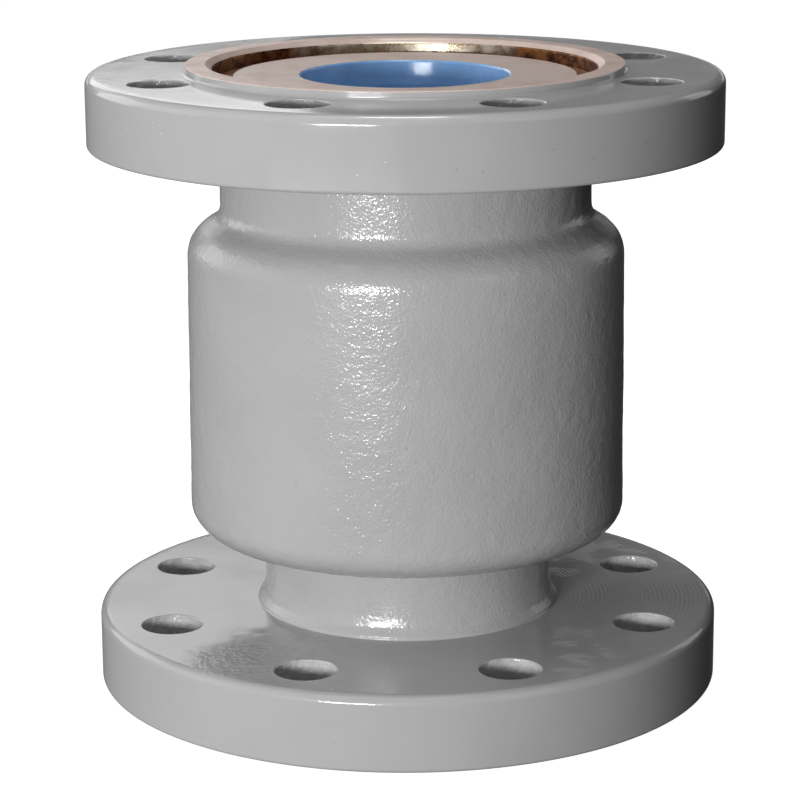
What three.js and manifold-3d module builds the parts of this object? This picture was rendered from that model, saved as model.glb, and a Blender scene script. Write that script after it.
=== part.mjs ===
// A double-flanged, spring-loaded axial check valve for a 100 mm pipe, in millimetres, +Z up.
// It stands on its outlet flange with its inlet on top. The origin is the centre of its underside.
// Water pushes the disc down, off the seat ring; a coil spring lifts it back.
import * as THREE from "three";
import { mergeVertices } from "three/addons/utils/BufferGeometryUtils.js";
import Module from "manifold-3d";

const wasm = await Module();
wasm.setup();

// Flanges: both ends are alike, but the inlet flange is a little thinner.
const faceToFace = 236;
const flangeRadius = 117.5;
const lowerFlangeThickness = 28;
const upperFlangeThickness = 26.5;
const flangeEdgeRadius = 3.5;
const raisedFaceRadius = 81;
const raisedFaceHeight = 3;
const boltCircleRadius = 95;
const boltHoleRadius = 11.5;
const boltCount = 8;
const lowerFlangeTop = raisedFaceHeight + lowerFlangeThickness;
const upperFlangeTop = faceToFace - raisedFaceHeight;
const upperFlangeBottom = upperFlangeTop - upperFlangeThickness;

// Outside of the casting.
const upperNeckRadius = 69;
const lowerNeckRadius = 54.3;
const neckFootRadius = 57;
const neckFootStep = 1.2;
const neckFootHeight = 8;
const neckFillet = 6;
const barrelTopRadius = 81.5;
const barrelBottomRadius = 82;
const shoulderZ = 165;
const shoulderRadius = 13.6;
const shoulderSweep = 58;
const shoulderFillet = 6.2;
const cornerZ = 70.8;
const cornerWidth = 14.4;
const cornerHeight = 11.6;
const barrelUnderside = cornerZ - cornerHeight;

// Inside of the casting.
const castingWall = 9;
const counterboreRadius = 70.8;
const counterboreChamfer = 2.6;
const counterboreChamferDepth = 1.9;
const counterboreFloor = 222;
const neckBoreRadius = 58;
const outletThroatRadius = 45;
const outletMouthRadius = 50;
const cavityFloor = barrelUnderside + castingWall;
const cavityCornerRadius = 7;

// Seat ring.
const seatFace = 180;
const seatBoreRadius = 38.5;
const seatLipInner = 40.5;
const seatLipOuter = 45.5;
const seatNoseRadius = 48;
const seatNoseTop = 184;
const seatSpigotBottom = 192;
const seatLandRadius = 63.3;
const seatLandTop = 231.6;
const seatLedgeTop = 229.8;
const oRingZ = 214;
const oRingGrooveDepth = 3.2;
const oRingGrooveHeight = 4.4;
const oRingWireRadius = 1.5;
const seatScrewCount = 3;
const seatScrewRadius = 2.5;
const seatScrewCircle = 66.9;
const seatScrewBottom = 214;
const seatScrewTop = 229.4;
const seatScrewTurn = 100;

// Guides and the stem that slides in them.
const stemRadius = 6;
const slidingGap = 0.1;
const bushOuterRadius = 8.1;
const hubBoreRadius = 8.4;
const legThickness = 5;
const upperHubRadius = 13;
const upperHubBottom = 194;
const upperHubTop = 206;
const upperLegCount = 3;
const guideRimOuter = 57.4;
const guideRimInner = 47;
const guideRimThickness = 7;
const guideRibCount = 4;
const guideTubeRadius = 12.3;
const guideTubeBottom = 74;
const guideTubeTop = 136.5;
const guideSeatRadius = 20;
const guideSeatTop = 95;
const guideSeatThickness = 6;
const guideScrewCount = 4;
const guideScrewCircle = 52.2;
const guideScrewRadius = 2.5;
const guideScrewDepth = 7;
const guideScrewHeadRadius = 4.25;
const guideScrewHeadHeight = 5;
const lowerBushLength = 32;
const bushFlangeRadius = 11;
const bushFlangeThickness = 2;

// Lift of the disc, and the parts that ride on the stem.
const discLift = 20;
const collarRadius = 9;
const collarThickness = 3;
const collarBottom = guideTubeTop + bushFlangeThickness + discLift + 0.5;
const stemBottom = 84;
const stemTop = 221;
const discRadius = 50;
const discUnderside = 168;
const discBossRadius = 12.5;
const discRimTop = 177.5;
const sealPocketFloor = 173.2;
const sealPocketInner = 33;
const sealPocketOuter = 47.7;
const discHubTop = 176.2;
const retainerRadius = 37.5;
const retainerThickness = 4.5;
const retainerScrewCount = 4;
const retainerScrewCircle = 24;
const retainerScrewRadius = 2;
const retainerScrewHeadRadius = 3.5;
const retainerScrewHeadHeight = 3;
const washerRadius = 11;
const washerThickness = 1.6;
const nutAcrossFlats = 19;
const nutThickness = 7.7;

// Spring.
const springWireRadius = 1.3;
const springMeanRadius = 16.2;
const springTurns = 9;
const springClosedTurns = 1;
const springPlateThickness = 1.5;

// Gap between pieces that touch in the real valve.
const gap = 0.3;
const bodySegments = 48;
const discSegments = 32;
const innerSegments = 24;
const smallSegments = 12;

const colours = {
  paint: [0x9a9c9c, 0.35, 0.1],
  bronze: [0xb58a62, 0.4, 0.9],
  steel: [0xb9bbbd, 0.3, 1.0],
  springSteel: [0x8f9296, 0.35, 1.0],
  rubber: [0x1d1d1f, 0.8, 0.0],
  guideIron: [0x2f5f96, 0.35, 0.1],
  bushing: [0xcaa15c, 0.45, 0.8],
};

function material(name) {
  const [color, roughness, metalness] = colours[name];
  return new THREE.MeshStandardMaterial({ color, roughness, metalness });
}

function point(radius, z) {
  return new THREE.Vector2(radius, z);
}

// Points on an arc about (radius, z); angles in degrees from the outward direction, positive upwards.
// With its own height the arc is part of an ellipse.
function arc(radius, z, size, from, to, steps, height = size) {
  const points = [];
  for (let i = 0; i <= steps; i++) {
    const angle = THREE.MathUtils.degToRad(from + ((to - from) * i) / steps);
    points.push(point(radius + size * Math.cos(angle), z + height * Math.sin(angle)));
  }
  return points;
}

// Turns an outline about the Z axis. The outline runs anticlockwise with the radius to the right
// and Z up, and it closes on itself or starts and ends on the axis.
function turned(outline, segments) {
  const onAxis = outline[0].x === 0;
  const closed = onAxis ? outline : [...outline, outline[0].clone()];
  return new THREE.LatheGeometry(closed, segments).rotateX(Math.PI / 2);
}

function ring(inner, outer, bottom, top, segments) {
  const outline = [
    point(inner, bottom),
    point(outer, bottom),
    point(outer, top),
    point(inner, top),
  ];
  return turned(outline, segments);
}

function cylinder(radius, bottom, top, segments) {
  const height = top - bottom;
  const geometry = new THREE.CylinderGeometry(radius, radius, height, segments);
  return geometry.rotateX(Math.PI / 2).translate(0, 0, bottom + height / 2);
}

function toSolid(geometry) {
  const bare = geometry.index ? geometry.toNonIndexed() : geometry.clone();
  bare.deleteAttribute("normal");
  bare.deleteAttribute("uv");
  const merged = mergeVertices(bare, 1e-4);
  const mesh = new wasm.Mesh({
    numProp: 3,
    vertProperties: merged.attributes.position.array,
    triVerts: new Uint32Array(merged.index.array),
  });
  return new wasm.Manifold(mesh);
}

function toGeometry(solid) {
  const mesh = solid.getMesh();
  const geometry = new THREE.BufferGeometry();
  const positions = new Float32Array(mesh.vertProperties);
  geometry.setAttribute("position", new THREE.BufferAttribute(positions, 3));
  geometry.setIndex(new THREE.BufferAttribute(new Uint32Array(mesh.triVerts), 1));
  geometry.computeVertexNormals();
  return geometry;
}

function cut(base, tools) {
  const solid = tools.reduce((rest, tool) => rest.subtract(toSolid(tool)), toSolid(base));
  return toGeometry(solid);
}

function join(pieces) {
  const [first, ...others] = pieces.map(toSolid);
  return toGeometry(others.reduce((sum, piece) => sum.add(piece), first));
}

// Places count copies of a piece round the Z axis; startDegrees is the first one's angle.
function around(makePiece, count, circleRadius, startDegrees) {
  const pieces = [];
  for (let i = 0; i < count; i++) {
    const angle = THREE.MathUtils.degToRad(startDegrees + (i * 360) / count);
    const piece = makePiece();
    piece.translate(circleRadius, 0, 0);
    pieces.push(piece.rotateZ(angle));
  }
  return pieces;
}

// The casting is one piece in the real valve. Here it is three that meet face to face: the barrel,
// and at each end of it a flange with its neck.
const rimCentre = flangeRadius - flangeEdgeRadius;
const shoulderAngle = THREE.MathUtils.degToRad(shoulderSweep);
const shoulderCentre = barrelTopRadius - shoulderRadius;
const shoulderEndRadius = shoulderCentre + shoulderRadius * Math.cos(shoulderAngle);
const shoulderEndZ = shoulderZ + shoulderRadius * Math.sin(shoulderAngle);
const waistCentre = upperNeckRadius + shoulderFillet;
const waistStartRadius = waistCentre - shoulderFillet * Math.cos(shoulderAngle);
const waistStartZ = shoulderEndZ + (shoulderEndRadius - waistStartRadius) / Math.tan(shoulderAngle);
const barrelTop = waistStartZ + shoulderFillet * Math.sin(shoulderAngle);

// The flange's rounded rim, from its underside up to its top.
function flangeRim(bottom, top) {
  const edge = flangeEdgeRadius;
  return [
    ...arc(rimCentre, bottom + edge, edge, -90, 0, 2),
    ...arc(rimCentre, top - edge, edge, 0, 90, 2),
  ];
}

function boltHoles(bottom, top) {
  const overrun = 2;
  const hole = () => cylinder(boltHoleRadius, bottom - overrun, top + overrun, smallSegments);
  return around(hole, boltCount, boltCircleRadius, 180 / boltCount);
}

function outletFlange() {
  const footMiddleRadius = (neckFootRadius + 2 * lowerNeckRadius) / 3;
  const filletCentre = lowerNeckRadius + neckFillet;
  const outline = [
    point(outletMouthRadius, 0),
    point(raisedFaceRadius, 0),
    point(raisedFaceRadius, raisedFaceHeight),
    ...flangeRim(raisedFaceHeight, lowerFlangeTop),
    point(neckFootRadius, lowerFlangeTop),
    point(neckFootRadius, lowerFlangeTop + neckFootStep),
    point(footMiddleRadius, lowerFlangeTop + neckFootHeight / 2),
    point(lowerNeckRadius, lowerFlangeTop + neckFootHeight),
    ...arc(filletCentre, barrelUnderside - neckFillet, neckFillet, 180, 90, 2),
    point(outletThroatRadius, barrelUnderside),
    point(outletThroatRadius, lowerFlangeTop),
  ];
  return cut(turned(outline, bodySegments), boltHoles(raisedFaceHeight, lowerFlangeTop));
}

// Middle of the casting, with the cavity that holds the disc, the spring and the lower guide.
function barrel() {
  const innerArc = shoulderRadius - castingWall;
  const slopeEndRadius = shoulderCentre + innerArc * Math.cos(shoulderAngle);
  const slopeEndZ = shoulderZ + innerArc * Math.sin(shoulderAngle);
  const neckBoreEnd = slopeEndZ + (slopeEndRadius - neckBoreRadius) / Math.tan(shoulderAngle);
  const floorArcCentre = barrelBottomRadius - castingWall - cavityCornerRadius;
  const cornerCentre = barrelBottomRadius - cornerWidth;
  const outline = [
    point(outletThroatRadius, barrelUnderside),
    ...arc(cornerCentre, cornerZ, cornerWidth, -90, 0, 6, cornerHeight),
    ...arc(shoulderCentre, shoulderZ, shoulderRadius, 0, shoulderSweep, 4),
    ...arc(waistCentre, barrelTop, shoulderFillet, 180 + shoulderSweep, 180, 2),
    point(neckBoreRadius, barrelTop),
    point(neckBoreRadius, neckBoreEnd),
    ...arc(shoulderCentre, shoulderZ, innerArc, shoulderSweep, 0, 2),
    ...arc(floorArcCentre, cavityFloor + cavityCornerRadius, cavityCornerRadius, 0, -90, 2),
    point(outletThroatRadius, cavityFloor),
  ];
  const screwHoleBottom = cavityFloor - guideScrewDepth - 1;
  const screwHoleRadius = guideScrewRadius + gap;
  const screwHole = () =>
    cylinder(screwHoleRadius, screwHoleBottom, cavityFloor + 1, smallSegments);
  const screwHoles = around(screwHole, guideScrewCount, guideScrewCircle, 0);
  return cut(turned(outline, bodySegments), screwHoles);
}

function inletFlange() {
  const outline = [
    point(neckBoreRadius, barrelTop),
    point(upperNeckRadius, barrelTop),
    ...arc(upperNeckRadius + neckFillet, upperFlangeBottom - neckFillet, neckFillet, 180, 90, 2),
    ...flangeRim(upperFlangeBottom, upperFlangeTop),
    point(raisedFaceRadius, upperFlangeTop),
    point(raisedFaceRadius, faceToFace),
    point(counterboreRadius + counterboreChamfer, faceToFace),
    point(counterboreRadius, faceToFace - counterboreChamferDepth),
    point(counterboreRadius, counterboreFloor),
    point(neckBoreRadius, counterboreFloor),
  ];
  const screwHoleRadius = seatScrewRadius + gap;
  const screwHole = () =>
    cylinder(screwHoleRadius, seatScrewBottom - gap, counterboreFloor + 1, smallSegments);
  return cut(turned(outline, bodySegments), [
    ...boltHoles(upperFlangeBottom, upperFlangeTop),
    ...around(screwHole, seatScrewCount, seatScrewCircle, seatScrewTurn),
  ]);
}

// Bronze ring: a flange in the inlet counterbore, a long spigot, and the seat lip at its foot.
function seatRing() {
  const spigotRadius = neckBoreRadius - gap;
  const flangeUnderside = counterboreFloor + gap;
  const grooveRadius = spigotRadius - oRingGrooveDepth;
  const halfGroove = oRingGrooveHeight / 2;
  const outline = [
    point(seatBoreRadius, seatFace + 1),
    point(seatLipInner, seatFace),
    point(seatLipOuter, seatFace),
    point(seatNoseRadius, seatNoseTop),
    point(spigotRadius, seatSpigotBottom),
    point(spigotRadius, oRingZ - halfGroove),
    point(grooveRadius, oRingZ - halfGroove),
    point(grooveRadius, oRingZ + halfGroove),
    point(spigotRadius, oRingZ + halfGroove),
    point(spigotRadius, flangeUnderside),
    point(counterboreRadius - gap, flangeUnderside),
    point(counterboreRadius - gap, seatLedgeTop),
    point(seatLandRadius, seatLedgeTop),
    point(seatLandRadius, seatLandTop),
    point(seatBoreRadius, seatLandTop),
  ];
  const legInner = upperHubRadius - 2;
  const legLength = seatBoreRadius + 1.5 - legInner;
  const legHeight = upperHubTop - upperHubBottom;
  const leg = () => {
    const bar = new THREE.BoxGeometry(legLength, legThickness, legHeight);
    return bar.translate(legLength / 2, 0, upperHubBottom + legHeight / 2);
  };
  const whole = join([
    turned(outline, bodySegments),
    ring(hubBoreRadius, upperHubRadius, upperHubBottom, upperHubTop, innerSegments),
    ...around(leg, upperLegCount, legInner, 90),
  ]);
  const screwHole = () =>
    cylinder(seatScrewRadius + gap, flangeUnderside - 1, seatLedgeTop + 1, smallSegments);
  return cut(whole, around(screwHole, seatScrewCount, seatScrewCircle, seatScrewTurn));
}

function seatORing() {
  const centre = neckBoreRadius - gap - oRingGrooveDepth + gap + oRingWireRadius;
  const section = arc(centre, oRingZ, oRingWireRadius, 0, 360, 6);
  section.pop();
  return turned(section, bodySegments);
}

// A headless screw with a hexagon socket in its top, standing on the Z axis.
function setScrew() {
  const socketRadius = 1.45;
  const socketDepth = 2.5;
  const shank = cylinder(seatScrewRadius, seatScrewBottom, seatScrewTop, smallSegments);
  const socket = cylinder(socketRadius, seatScrewTop - socketDepth, seatScrewTop + 1, 6);
  return cut(shank, [socket]);
}

// A cap screw with a round head and a hexagon socket, standing on the Z axis.
function capScrew(shankRadius, headRadius, shankBottom, headBottom, headTop) {
  const socketDepth = (headTop - headBottom) / 2;
  const outline = [
    point(0, shankBottom),
    point(shankRadius, shankBottom),
    point(shankRadius, headBottom),
    point(headRadius, headBottom),
    point(headRadius, headTop),
    point(0, headTop),
  ];
  const socket = cylinder(headRadius / 2, headTop - socketDepth, headTop + 1, 6);
  return cut(turned(outline, smallSegments), [socket]);
}

function guideBush(bottom, top) {
  const bore = stemRadius + slidingGap;
  return ring(bore, bushOuterRadius, bottom, top, innerSegments);
}

function lowerGuideBush() {
  const bore = stemRadius + slidingGap;
  const flangeBottom = guideTubeTop + gap;
  const outline = [
    point(bore, guideTubeTop - lowerBushLength),
    point(bushOuterRadius, guideTubeTop - lowerBushLength),
    point(bushOuterRadius, flangeBottom),
    point(bushFlangeRadius, flangeBottom),
    point(bushFlangeRadius, guideTubeTop + bushFlangeThickness),
    point(bore, guideTubeTop + bushFlangeThickness),
  ];
  return turned(outline, innerSegments);
}

// Spider that stands on the cavity floor: a rim, four ribs, a tube for the stem and a spring ledge.
function lowerGuide() {
  const rimBottom = cavityFloor + gap;
  const rimTop = rimBottom + guideRimThickness;
  const seatBottom = guideSeatTop - guideSeatThickness;
  const tube = turned(
    [
      point(hubBoreRadius, guideTubeBottom),
      point(guideTubeRadius, guideTubeBottom),
      point(guideTubeRadius, seatBottom - guideSeatThickness),
      point(guideSeatRadius, seatBottom),
      point(guideSeatRadius, guideSeatTop),
      point(guideTubeRadius, guideSeatTop),
      point(guideTubeRadius, guideTubeTop),
      point(hubBoreRadius, guideTubeTop),
    ],
    innerSegments,
  );
  const rim = ring(guideRimInner, guideRimOuter, rimBottom, rimTop, discSegments);
  const rib = () => {
    const side = new THREE.Shape([
      point(guideTubeRadius - 1.5, guideTubeBottom + 1),
      point(guideRimInner + 1, rimBottom + 1),
      point(guideRimInner + 2, rimTop - 1),
      point(guideSeatRadius - 1, seatBottom),
      point(guideTubeRadius - 1.5, seatBottom),
    ]);
    const plate = new THREE.ExtrudeGeometry(side, { depth: legThickness, bevelEnabled: false });
    return plate.rotateX(Math.PI / 2).translate(0, legThickness / 2, 0);
  };
  const whole = join([tube, rim, ...around(rib, guideRibCount, 0, 45)]);
  const screwHole = () =>
    cylinder(guideScrewRadius + gap, rimBottom - 1, rimTop + 1, smallSegments);
  return cut(whole, around(screwHole, guideScrewCount, guideScrewCircle, 0));
}

function valveDisc() {
  const bore = stemRadius + gap;
  const bossBottom = collarBottom + collarThickness + gap;
  const chamfer = 3;
  const outline = [
    point(bore, bossBottom),
    point(discBossRadius, bossBottom),
    point(discBossRadius, discUnderside),
    point(discRadius - chamfer, discUnderside),
    point(discRadius, discUnderside + chamfer),
    point(discRadius, discRimTop),
    point(sealPocketOuter, discRimTop),
    point(sealPocketOuter, sealPocketFloor),
    point(sealPocketInner, sealPocketFloor),
    point(sealPocketInner, discHubTop),
    point(bore, discHubTop),
  ];
  const screwHole = () =>
    cylinder(retainerScrewRadius + gap, discUnderside + 2, discHubTop + 1, smallSegments);
  const holes = around(screwHole, retainerScrewCount, retainerScrewCircle, 45);
  return cut(turned(outline, discSegments), holes);
}

function discSeal() {
  const stepRadius = retainerRadius + gap;
  const outline = [
    point(sealPocketInner + gap, sealPocketFloor + gap),
    point(sealPocketOuter - gap, sealPocketFloor + gap),
    point(sealPocketOuter - gap, seatFace - gap),
    point(stepRadius, seatFace - gap),
    point(stepRadius, discHubTop),
    point(sealPocketInner + gap, discHubTop),
  ];
  return turned(outline, discSegments);
}

const retainerBottom = discHubTop + gap;
const retainerTop = retainerBottom + retainerThickness;

function sealRetainer() {
  const plate = ring(stemRadius + gap, retainerRadius, retainerBottom, retainerTop, discSegments);
  const screwHole = () =>
    cylinder(retainerScrewRadius + gap, retainerBottom - 1, retainerTop + 1, smallSegments);
  return cut(plate, around(screwHole, retainerScrewCount, retainerScrewCircle, 45));
}

function stem() {
  const tip = 1;
  const outline = [
    point(0, stemBottom),
    point(stemRadius - tip, stemBottom),
    point(stemRadius, stemBottom + tip),
    point(stemRadius, collarBottom),
    point(collarRadius, collarBottom),
    point(collarRadius, collarBottom + collarThickness),
    point(stemRadius, collarBottom + collarThickness),
    point(stemRadius, stemTop - tip),
    point(stemRadius - tip, stemTop),
    point(0, stemTop),
  ];
  return turned(outline, innerSegments);
}

const washerBottom = retainerTop + gap;
const washerTop = washerBottom + washerThickness;

function stemWasher() {
  return ring(stemRadius + gap, washerRadius, washerBottom, washerTop, innerSegments);
}

function stemNut() {
  const bottom = washerTop + gap;
  const cornerDistance = nutAcrossFlats / 2 / Math.cos(Math.PI / 6);
  const block = cylinder(cornerDistance, bottom, bottom + nutThickness, 6);
  const hole = cylinder(stemRadius + gap, bottom - 1, bottom + nutThickness + 1, innerSegments);
  return cut(block, [hole.rotateZ(Math.PI / 2)]);
}

// Centre line of the spring: closed turns at both ends and even turns between them.
class SpringLine extends THREE.Curve {
  getPoint(t, target = new THREE.Vector3()) {
    const bottom = guideSeatTop + 2 * gap + springPlateThickness + springWireRadius;
    const top = discUnderside - gap - springWireRadius;
    const closedHeight = springClosedTurns * (2 * springWireRadius + gap);
    const turn = t * springTurns;
    const openTurns = springTurns - 2 * springClosedTurns;
    const openHeight = top - bottom - 2 * closedHeight;
    const low = Math.min(turn, springClosedTurns) * (closedHeight / springClosedTurns);
    const middle = THREE.MathUtils.clamp((turn - springClosedTurns) / openTurns, 0, 1);
    const late = Math.max(turn - springClosedTurns - openTurns, 0);
    const high = late * (closedHeight / springClosedTurns);
    const angle = turn * 2 * Math.PI;
    const z = bottom + low + middle * openHeight + high;
    return target.set(springMeanRadius * Math.cos(angle), springMeanRadius * Math.sin(angle), z);
  }
}

function coilSpring() {
  const sides = 6;
  const stepsPerTurn = 10;
  const section = new THREE.Shape(
    Array.from({ length: sides }, (_, i) => {
      const angle = (i * 2 * Math.PI) / sides;
      return point(springWireRadius * Math.cos(angle), springWireRadius * Math.sin(angle));
    }),
  );
  const steps = springTurns * stepsPerTurn;
  return new THREE.ExtrudeGeometry(section, { steps, extrudePath: new SpringLine() });
}

function springPlate() {
  const bottom = guideSeatTop + gap;
  const inner = guideTubeRadius + gap;
  return ring(inner, guideSeatRadius, bottom, bottom + springPlateThickness, innerSegments);
}

const valve = new THREE.Group();

function add(name, geometry, materialName) {
  const mesh = new THREE.Mesh(geometry, material(materialName));
  mesh.name = name;
  valve.add(mesh);
}

function addAround(name, makePiece, count, circleRadius, startDegrees, materialName) {
  around(makePiece, count, circleRadius, startDegrees).forEach((geometry, i) => {
    add(`${name}_${i + 1}`, geometry, materialName);
  });
}

const guideRimTop = cavityFloor + gap + guideRimThickness;
const guideScrew = () =>
  capScrew(
    guideScrewRadius,
    guideScrewHeadRadius,
    cavityFloor - guideScrewDepth,
    guideRimTop + gap,
    guideRimTop + guideScrewHeadHeight,
  );
const retainerScrew = () =>
  capScrew(
    retainerScrewRadius,
    retainerScrewHeadRadius,
    discUnderside + 3,
    retainerTop + gap,
    retainerTop + retainerScrewHeadHeight,
  );

add("outlet_flange", outletFlange(), "paint");
add("barrel", barrel(), "paint");
add("inlet_flange", inletFlange(), "paint");
add("seat_ring", seatRing(), "bronze");
add("seat_o_ring", seatORing(), "rubber");
addAround("seat_screw", setScrew, seatScrewCount, seatScrewCircle, seatScrewTurn, "steel");
add("upper_guide_bush", guideBush(upperHubBottom, upperHubTop), "bushing");
add("disc", valveDisc(), "steel");
add("disc_seal", discSeal(), "rubber");
add("seal_retainer", sealRetainer(), "steel");
addAround("retainer_screw", retainerScrew, retainerScrewCount, retainerScrewCircle, 45, "steel");
add("stem", stem(), "steel");
add("stem_washer", stemWasher(), "steel");
add("stem_nut", stemNut(), "steel");
add("spring", coilSpring(), "springSteel");
add("spring_plate", springPlate(), "steel");
add("lower_guide", lowerGuide(), "guideIron");
add("lower_guide_bush", lowerGuideBush(), "bushing");
addAround("guide_screw", guideScrew, guideScrewCount, guideScrewCircle, 0, "steel");

export default valve;
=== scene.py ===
import math
import bpy
import numpy as np
from mathutils import Matrix, Vector, noise


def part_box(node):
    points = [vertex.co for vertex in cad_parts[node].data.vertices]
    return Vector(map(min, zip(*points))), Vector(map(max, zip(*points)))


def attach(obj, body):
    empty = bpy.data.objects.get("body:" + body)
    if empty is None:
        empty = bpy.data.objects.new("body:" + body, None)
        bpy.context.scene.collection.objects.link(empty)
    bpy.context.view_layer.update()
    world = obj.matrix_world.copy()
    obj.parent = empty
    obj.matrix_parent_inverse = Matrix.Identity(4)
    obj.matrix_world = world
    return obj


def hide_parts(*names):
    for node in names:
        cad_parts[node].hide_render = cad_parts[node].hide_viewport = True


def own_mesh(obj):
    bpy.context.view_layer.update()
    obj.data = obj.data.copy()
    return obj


# Looks of a double-flanged axial check valve that stands on its outlet flange, inlet up. Lengths in
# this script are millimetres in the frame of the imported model, and meshes are made in metres.
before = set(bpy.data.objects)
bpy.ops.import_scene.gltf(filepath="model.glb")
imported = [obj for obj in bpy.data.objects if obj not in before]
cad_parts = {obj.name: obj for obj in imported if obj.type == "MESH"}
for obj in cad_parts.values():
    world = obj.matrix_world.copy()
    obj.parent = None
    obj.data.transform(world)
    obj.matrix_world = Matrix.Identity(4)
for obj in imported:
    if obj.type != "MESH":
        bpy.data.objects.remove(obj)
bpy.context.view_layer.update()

MM = 0.001


def bottom_of(node):
    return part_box(node)[0].z / MM


def top_of(node):
    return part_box(node)[1].z / MM


def ends_of(node):
    return bottom_of(node), top_of(node)


def radius_of(node):
    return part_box(node)[1].x / MM


# Casting.
FACE_TO_FACE = top_of("inlet_flange")
FLANGE_RADIUS = radius_of("outlet_flange")
FLANGE_EDGE = 3.5
FLANGE_UNDER_EDGE = 1.4
RAISED_FACE_RADIUS = 81
RAISED_FACE = 3
LOWER_FLANGE_THICKNESS = 28
UPPER_FLANGE_THICKNESS = 26.5
FLANGE_TOP = RAISED_FACE + LOWER_FLANGE_THICKNESS
UPPER_FLANGE_TOP = FACE_TO_FACE - RAISED_FACE
UPPER_FLANGE_BOTTOM = UPPER_FLANGE_TOP - UPPER_FLANGE_THICKNESS
BOLT_CIRCLE = 95
# Radius of a bolt hole inside its paint, which is 0.4 thick.
BOLT_HOLE = 11.1
BOLT_HOLE_LIP = 0.6
BOLT_COUNT = 8
UPPER_NECK_RADIUS = 69
LOWER_NECK_RADIUS = 54.3
NECK_FOOT_RADIUS = 57
NECK_FOOT_STEP = 1.2
NECK_FOOT_HEIGHT = 8
NECK_FILLET = 6
BARREL_RADIUS = radius_of("barrel")
BARREL_TAPER = 0.5
BARREL_BOTTOM = bottom_of("barrel")
CORNER_WIDTH = 14.4
CORNER_HEIGHT = 11.6
SHOULDER_Z = 165
SHOULDER_RADIUS = 13.6
SHOULDER_SWEEP = 58
WAIST_FILLET = 6.2
CASTING_WALL = 9
COUNTERBORE_RADIUS = 70.8
COUNTERBORE_FLOOR = 222
COUNTERBORE_CHAMFER = 2.6
COUNTERBORE_CHAMFER_DEPTH = 1.9
NECK_BORE = 58
THROAT_RADIUS = 45
MOUTH_RADIUS = 50
CAVITY_FLOOR = BARREL_BOTTOM + CASTING_WALL
CAVITY_CORNER = 7

# Seat ring, guides and moving parts. Pieces that touch in the real valve keep GAP between them.
GAP = 0.3
SEAT_BORE = 38.5
BORE_FLARE = 1.0
BORE_FLARE_DEPTH = 9
SEAT_FACE = bottom_of("seat_ring")
LAND_RADIUS = 63.3
LAND_TOP = top_of("seat_ring")
LEDGE_TOP = LAND_TOP - 1.8
SPIGOT_RADIUS = 57.7
RING_RADIUS = COUNTERBORE_RADIUS - GAP
O_RING_Z = (bottom_of("seat_o_ring") + top_of("seat_o_ring")) / 2
O_RING_WIRE = (top_of("seat_o_ring") - bottom_of("seat_o_ring")) / 2
STEM_RADIUS = 6
HUB_BORE = 8.4
LEG_COUNT = 3
RIB_COUNT = 4

# Screws and their holes.
SCREW_HOLE = 2.8
SMALL_SCREW_HOLE = 2.3
SEAT_SCREW_COUNT = 3
SEAT_SCREW_CIRCLE = 66.9
SEAT_SCREW_TURN = 100
SEAT_HOLE_BOTTOM = 213.7
GUIDE_SCREW_COUNT = 4
GUIDE_SCREW_CIRCLE = 52.2
GUIDE_HOLE_BOTTOM = 60.2
RETAINER_SCREW_COUNT = 4
RETAINER_SCREW_CIRCLE = 24
RETAINER_SCREW_TURN = 45

# Fineness of the meshes.
CAST_SEGMENTS = 360
RING_SEGMENTS = 192
SMALL_SEGMENTS = 48
CAST_SPACING = 1.2
LOWER_FACE_SPACING = 1.9
FACE_SPACING = 3.5
INSIDE_SPACING = 12


# ---- outlines and meshes

def arc(radius, z, size, start, end, steps, height=None):
    """Points on an arc about (radius, z), angles in degrees from the outward direction."""
    height = size if height is None else height
    angles = np.radians(np.linspace(start, end, steps + 1))
    return [(radius + size * math.cos(a), z + height * math.sin(a)) for a in angles]


def rounded(corners, closed=True, steps=5):
    """The outline through corners, each (radius, z) or (radius, z, rounding)."""
    points = []
    for i, (radius, z, *rounding) in enumerate(corners):
        corner = Vector((radius, z))
        at_end = not closed and i in (0, len(corners) - 1)
        if not rounding or at_end:
            points.append(corner)
            continue
        before = (Vector(corners[i - 1][:2]) - corner).normalized()
        after = (Vector(corners[(i + 1) % len(corners)][:2]) - corner).normalized()
        half = before.angle(after) / 2
        centre = corner + (before + after).normalized() * (rounding[0] / math.sin(half))
        start = corner + before * (rounding[0] / math.tan(half)) - centre
        side = math.copysign(1, before.x * after.y - before.y * after.x)
        for k in range(steps + 1):
            turn = Matrix.Rotation(-side * (math.pi - 2 * half) * k / steps, 2)
            points.append(centre + turn @ start)
    return [tuple(p) for p in points]


def ring_outline(bore, outer, low, high, edges):
    """A plain ring's outline. Its four roundings go anticlockwise from the lower inner edge."""
    corners = [(bore, low), (outer, low), (outer, high), (bore, high)]
    return rounded([(*corner, edge) for corner, edge in zip(corners, edges)])


def refined(points, spacing_at):
    """The same line, its long stretches divided. spacing_at(radius, z) gives the longest step."""
    fine = [points[0]]
    for (r0, z0), (r1, z1) in zip(points, points[1:]):
        length = math.hypot(r1 - r0, z1 - z0)
        steps = max(1, math.ceil(length / spacing_at((r0 + r1) / 2, (z0 + z1) / 2)))
        for k in range(1, steps + 1):
            fine.append((r0 + (r1 - r0) * k / steps, z0 + (z1 - z0) * k / steps))
    return fine


def make_object(name, vertices, faces):
    mesh = bpy.data.meshes.new(name)
    mesh.from_pydata([tuple(v) for v in np.asarray(vertices) * MM], [], faces)
    made = bpy.data.objects.new(name, mesh)
    bpy.context.scene.collection.objects.link(made)
    return made


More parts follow.
